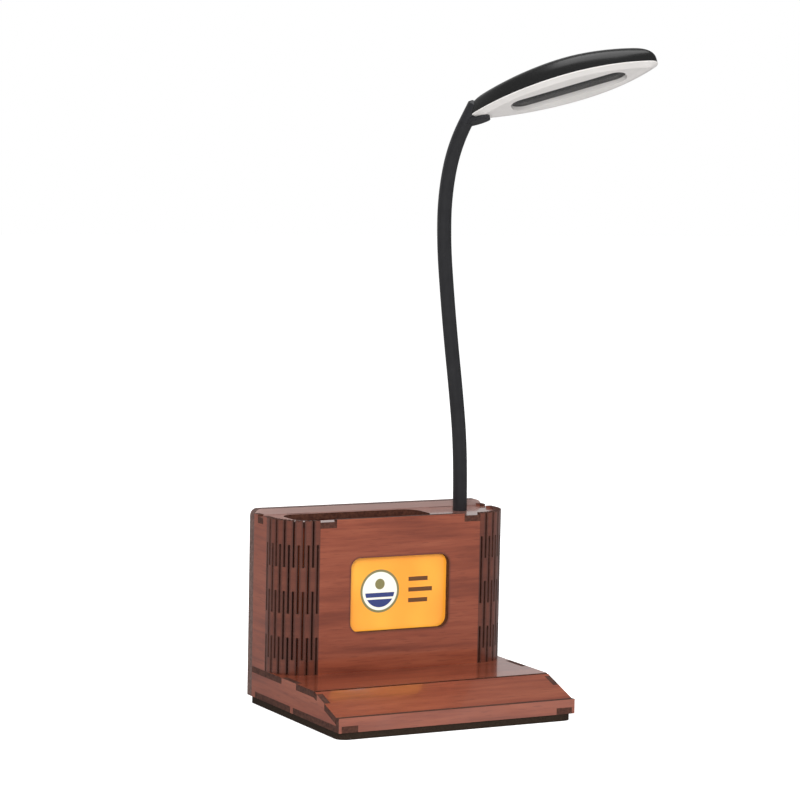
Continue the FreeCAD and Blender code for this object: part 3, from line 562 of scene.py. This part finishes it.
def paint_boards():
    """Each board has the axis that its print looks along, and the stretch of its grain."""
    level, upright, sideways = (0.0, 0.0, 1.0), (0.0, 1.0, 0.0), (1.0, 0.0, 0.0)
    sloping = (0.0, -math.sin(BEVEL_ANGLE), math.cos(BEVEL_ANGLE))
    along_x = (ALONG_GRAIN, 1.0, 1.0)
    along_y = (1.0, ALONG_GRAIN, 1.0)
    along_z = (1.0, 1.0, ALONG_GRAIN)
    round_corners = (ALONG_GRAIN, ALONG_GRAIN, 1.0)
    boards = (
        ("bottom_plate", flat_facing(level), along_x, {}),
        ("ledge_plate", flat_facing(level), along_x, {}),
        ("bevel_plate", flat_facing(sloping), along_x, {}),
        ("base_side_left", flat_facing(sideways), along_y, {}),
        ("base_side_right", flat_facing(sideways), along_y, {}),
        ("partition", flat_facing(sideways), along_z, {}),
        # Painted reflection: the top plate, the front band and the back panel's rim get a pale painted
        # sheen.
        ("top_plate", flat_facing(level), along_x, {"painted_sheen": cloudy_painted_sheen(0.12, 0.25)}),
        ("front_band", flat_facing(upright), along_x, {"painted_sheen": cloudy_painted_sheen(0.04, 0.12)}),
        ("back_panel", flat_facing(upright), along_x,
         {"painted_sheen": rim_painted_sheen, "edges": (BROWNED, BROWNED_LIGHT)}),
        ("body_wall", wall_facing, round_corners, {"soot": wall_soot}),
    )
    for node, facing, stretch, board_extras in boards:
        paint(node, board_material("board_" + node, facing, stretch, **board_extras))


def paint_small_parts():
    gloss_black = moulded("black_gloss", (0.006, 0.006, 0.007), 0.12, coat=1.0)
    satin_black = moulded("black_satin", (0.016, 0.016, 0.018), 0.42, relief=0.02 * MM)
    silver = moulded("silver_paint", (0.55, 0.53, 0.515), 0.34)
    zinc = moulded("zinc_fastener", (0.55, 0.55, 0.52), 0.3, metallic=1.0)
    nickel = moulded("nickel_pin", (0.66, 0.62, 0.55), 0.15, metallic=1.0)
    lead = moulded("copper_lead", (0.22, 0.015, 0.012), 0.4)
    tape = moulded("white_tape", (0.6, 0.6, 0.57), 0.7)
    circuit = circuit_material()
    finishes = (
        (foam_material(), "base_pad"),
        (picture_material(), "picture_plate"),
        (satin_black, "neck_socket", "head_boss", "power_jack", "switch_housing", "driver_parts"),
        (gloss_black, "head_shell", "switch_rocker"),
        (silver, "head_bezel"),
        (lens_material(), "head_lens"),
        (circuit, "led_board", "driver_board"),
        (led_material(), "leds"),
        (zinc, "neck_stud", "neck_nut", "jack_nut"),
        (nickel, "jack_pin", "switch_terminals"),
        (tape, "driver_tape"),
        (lead, "jack_lead", "switch_lead", "lamp_lead", "head_lead"),
    )
    for material, *nodes in finishes:
        for node in nodes:
            paint(node, material)


# ---------------------------------------------------------------- the neck's skin
HEADING = Vector((math.cos(LAMP_AZIMUTH), math.sin(LAMP_AZIMUTH), 0.0))
UP = Vector((0.0, 0.0, 1.0))


def neck_place(distance):
    """Point and direction of the neck's axis at a distance along it from its foot."""
    point, lean = NECK_FOOT.copy(), 0.0
    for turn in LINK_TURNS:
        step = min(distance, LINK_LENGTH)
        bend = math.radians(turn) * step / LINK_LENGTH
        half = bend / 2
        chord = step * math.sin(half) / half if half else step
        point += (HEADING * math.sin(lean + half) + UP * math.cos(lean + half)) * chord
        lean += bend
        distance -= step
        if distance <= 0:
            break
    return point, HEADING * math.sin(lean) + UP * math.cos(lean)


def bridge(mesh, loops):
    """Quads between each two neighbouring rings of points."""
    for low, high in zip(loops, loops[1:]):
        for i in range(len(low)):
            j = (i + 1) % len(low)
            mesh.faces.new((low[i], low[j], high[j], high[i]))


def add_piece(name, mesh, material):
    """Turns the worked mesh into a piece of the scene with its finish."""
    data = bpy.data.meshes.new(name)
    mesh.to_mesh(data)
    mesh.free()
    data.materials.append(material)
    piece = bpy.data.objects.new(name, data)
    bpy.context.scene.collection.objects.link(piece)
    return piece


def add_skin(name, start, end, material):
    """A skin round the neck's axis between two distances along it."""
    side = UP.cross(HEADING).normalized()
    turns = [2 * math.pi * i / SKIN_SIDES for i in range(SKIN_SIDES)]
    mesh = bmesh.new()
    loops = []
    for ring in range(SKIN_RINGS + 1):
        centre, along = neck_place(start + (end - start) * ring / SKIN_RINGS)
        across = along.cross(side)
        loops.append([mesh.verts.new(centre + (side * math.cos(a) + across * math.sin(a)) * NECK_RADIUS)
                      for a in turns])
    bridge(mesh, loops)
    bmesh.ops.recalc_face_normals(mesh, faces=mesh.faces)
    skin = add_piece(name, mesh, material)
    skin.data.shade_smooth()
    return skin


def dress_neck():
    """Seven stretches of skin, each round one joint, from the middle of one link to that of the next.

    The first and the last stretch also cover the outer half of the neck's end link.
    """
    material = neck_material()
    links = len(LINK_TURNS)
    for joint in range(1, links):
        low = 0.0 if joint == 1 else (joint - 0.5) * LINK_LENGTH
        high = links * LINK_LENGTH if joint == links - 1 else (joint + 0.5) * LINK_LENGTH
        skin = add_skin(f"neck_skin_{joint}", low, high, material)
        middle_below, _ = neck_place((joint - 0.5) * LINK_LENGTH)
        middle_above, _ = neck_place((joint + 0.5) * LINK_LENGTH)
        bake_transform(skin)
        replaced = [f"neck_segment_{joint}"] + ([f"neck_segment_{links}"] if joint == links - 1 else [])
        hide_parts(*replaced)


# ---------------------------------------------------------------- the lamp's dome
class Leaf:
    """A leaf outline along X: a round tail and tip, joined by side arcs that run smoothly into them."""

    def __init__(self, tail, tip, half, tail_radius, tip_radius):
        self.tail, self.tip, self.half = tail, tip, half
        self.tail_radius, self.tip_radius = tail_radius, tip_radius

    def half_width(self, x):
        sign = -1 if x < HEAD_WIDEST else 1
        radius = self.tail_radius if sign < 0 else self.tip_radius
        centre = self.tail + radius if sign < 0 else self.tip - radius
        side = ((centre - HEAD_WIDEST) ** 2 + self.half ** 2 - radius ** 2) / (2 * (self.half - radius))
        away = Vector((centre - HEAD_WIDEST, side - self.half)).normalized()
        if sign * (x - centre - away.x * radius) > 0:
            return math.sqrt(max(0.0, radius ** 2 - (x - centre) ** 2))
        return self.half - side + math.sqrt(side ** 2 - (x - HEAD_WIDEST) ** 2)

    def ring(self, mesh, z):
        """One closed ring of points, closer together towards the ends."""
        shares = [(1 - math.cos(math.pi * i / LEAF_STEPS)) / 2 for i in range(LEAF_STEPS + 1)]
        places = [self.tail + (self.tip - self.tail) * share for share in shares]
        outline = [(x, self.half_width(x)) for x in places]
        near = [(x, -width) for x, width in outline]
        far = outline[-2:0:-1]
        return [mesh.verts.new((x, y, z)) for x, y in near + far]


def dome_ring(mesh, level):
    """The dome's outline at a share of its height: it keeps its width longer than its length."""
    length = math.sqrt(1 - level ** (1 / HEAD_ARCH))
    width = (1 - level ** (2 / HEAD_SECTION)) ** (HEAD_SECTION / 2)
    leaf = Leaf(HEAD_WIDEST + (HEAD_TAIL - HEAD_WIDEST) * length,
                HEAD_WIDEST + (HEAD_TIP - HEAD_WIDEST) * length,
                HEAD_HALF_WIDTH * width, HEAD_TAIL_RADIUS * width, HEAD_TIP_RADIUS * width)
    return leaf.ring(mesh, HEAD_HEIGHT * level)


def add_dome(material):
    """The lamp's upper shell: a smooth glossy dome over the pocket for the LED board."""
    mesh = bmesh.new()
    pocket = Leaf(HEAD_TAIL + POCKET_WALL, HEAD_TIP - POCKET_WALL, HEAD_HALF_WIDTH - POCKET_WALL,
                  HEAD_TAIL_RADIUS - POCKET_WALL, HEAD_TIP_RADIUS - POCKET_WALL)
    loops = [pocket.ring(mesh, POCKET_HEIGHT), pocket.ring(mesh, 0.0)]
    loops += [dome_ring(mesh, math.sin(math.pi / 2 * i / DOME_LEVELS) ** DOME_EASE)
              for i in range(DOME_LEVELS)]
    bridge(mesh, loops)
    crown = mesh.verts.new((HEAD_WIDEST, 0.0, HEAD_HEIGHT))
    last = loops[-1]
    for i in range(len(last)):
        mesh.faces.new((last[i], last[(i + 1) % len(last)], crown))
    mesh.faces.new(loops[0])
    bmesh.ops.recalc_face_normals(mesh, faces=mesh.faces)
    for edge in mesh.edges:
        edge.smooth = edge.calc_face_angle(0.0) < SMOOTHED_BELOW
    for face in mesh.faces:
        face.smooth = True
    neck_end, along = neck_place(len(LINK_TURNS) * LINK_LENGTH)
    mesh.transform(Matrix.Translation(neck_end + along * HEAD_RISE)
                   @ Matrix.Rotation(LAMP_AZIMUTH, 4, "Z") @ Matrix.Rotation(-HEAD_PITCH, 4, "Y")
                   @ Matrix.Rotation(-HEAD_ROLL, 4, "X"))
    dome = add_piece("head_dome", mesh, material)
    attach(dome, f"neck_link_{len(LINK_TURNS)}")
    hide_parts("head_shell")


# ---------------------------------------------------------------- stage, lights and camera
def add_stage():
    """A floor that keeps the object's shadow: white to the camera, and dim where gloss reflects it."""
    graph = Finish("floor_paper", Roughness=0.9, Specular_IOR_Level=0.0)
    path = graph.add("LightPath").outputs
    seen = graph.math("MAXIMUM", path["Is Camera Ray"], path["Is Transmission Ray"])
    graph.set(Base_Color=graph.mix(path["Is Glossy Ray"], PAPER, PAPER_IN_GLOSS),
              Emission_Color=WHITE, Emission_Strength=graph.times(seen, FLOOR_GLOW))
    mesh = bmesh.new()
    bmesh.ops.create_grid(mesh, x_segments=1, y_segments=1, size=FLOOR_SIZE)
    floor = add_piece("floor", mesh, graph.material)


def add_world():
    """Plain white to the camera, even on matt surfaces, and in gloss bright only low and behind."""
    world = bpy.data.worlds.new("studio")
    world.use_nodes = True
    bpy.context.scene.world = world
    graph = Nodes(world.node_tree)
    axes = graph.axes(graph.add("TexCoord").outputs["Generated"])
    path = graph.add("LightPath").outputs
    low_to_high = graph.blend(graph.smooth(axes[2], *HIGH_FROM_TO), GLOSS_BEHIND, GLOSS_AROUND)
    gloss = graph.blend(graph.smooth(axes[1], *BEHIND_FROM_TO), GLOSS_AROUND, low_to_high)
    strength = graph.blend(path["Is Glossy Ray"], WORLD_STRENGTH, gloss)
    for straight in ("Is Camera Ray", "Is Transmission Ray"):
        strength = graph.blend(path[straight], strength, 1.0)
    background = world.node_tree.nodes["Background"].inputs
    graph.link(WHITE, background["Color"])
    graph.link(strength, background["Strength"])


def add_light(name, place, target, size, watts, mirrored):
    """A soft lamp. One that isn't mirrored lights matt surfaces and leaves no patch in the lacquer."""
    data = bpy.data.lights.new(name, "AREA")
    data.shape = "RECTANGLE"
    data.size, data.size_y = size
    data.energy = watts
    light = bpy.data.objects.new(name, data)
    light.location = place
    light.visible_glossy = mirrored
    light.rotation_euler = (Vector(target) - Vector(place)).to_track_quat("-Z", "Y").to_euler()
    bpy.context.scene.collection.objects.link(light)


def add_camera():
    """The fitted camera. It looks at the target from its azimuth and elevation, and is rolled."""
    back = Vector((math.sin(CAMERA_AZIMUTH) * math.cos(CAMERA_ELEVATION),
                   -math.cos(CAMERA_AZIMUTH) * math.cos(CAMERA_ELEVATION),
                   math.sin(CAMERA_ELEVATION)))
    right = (-back).cross(UP).normalized()
    up = right.cross(-back)
    rolled_right = right * math.cos(CAMERA_ROLL) + up * math.sin(CAMERA_ROLL)
    rolled_up = up * math.cos(CAMERA_ROLL) - right * math.sin(CAMERA_ROLL)
    data = bpy.data.cameras.new("camera")
    data.lens = CAMERA_LENS
    data.sensor_width = CAMERA_SENSOR
    camera = bpy.data.objects.new("camera", data)
    camera.matrix_world = Matrix((rolled_right, rolled_up, back)).transposed().to_4x4()
    camera.matrix_world.translation = CAMERA_TARGET + back * CAMERA_DISTANCE
    bpy.context.scene.collection.objects.link(camera)
    bpy.context.scene.camera = camera


paint_boards()
paint_small_parts()
dress_neck()
add_dome(bpy.data.materials["black_gloss"])
add_stage()
add_world()
for light in LIGHTS:
    add_light(*light)
add_camera()
bpy.context.scene.view_settings.view_transform = "Standard"
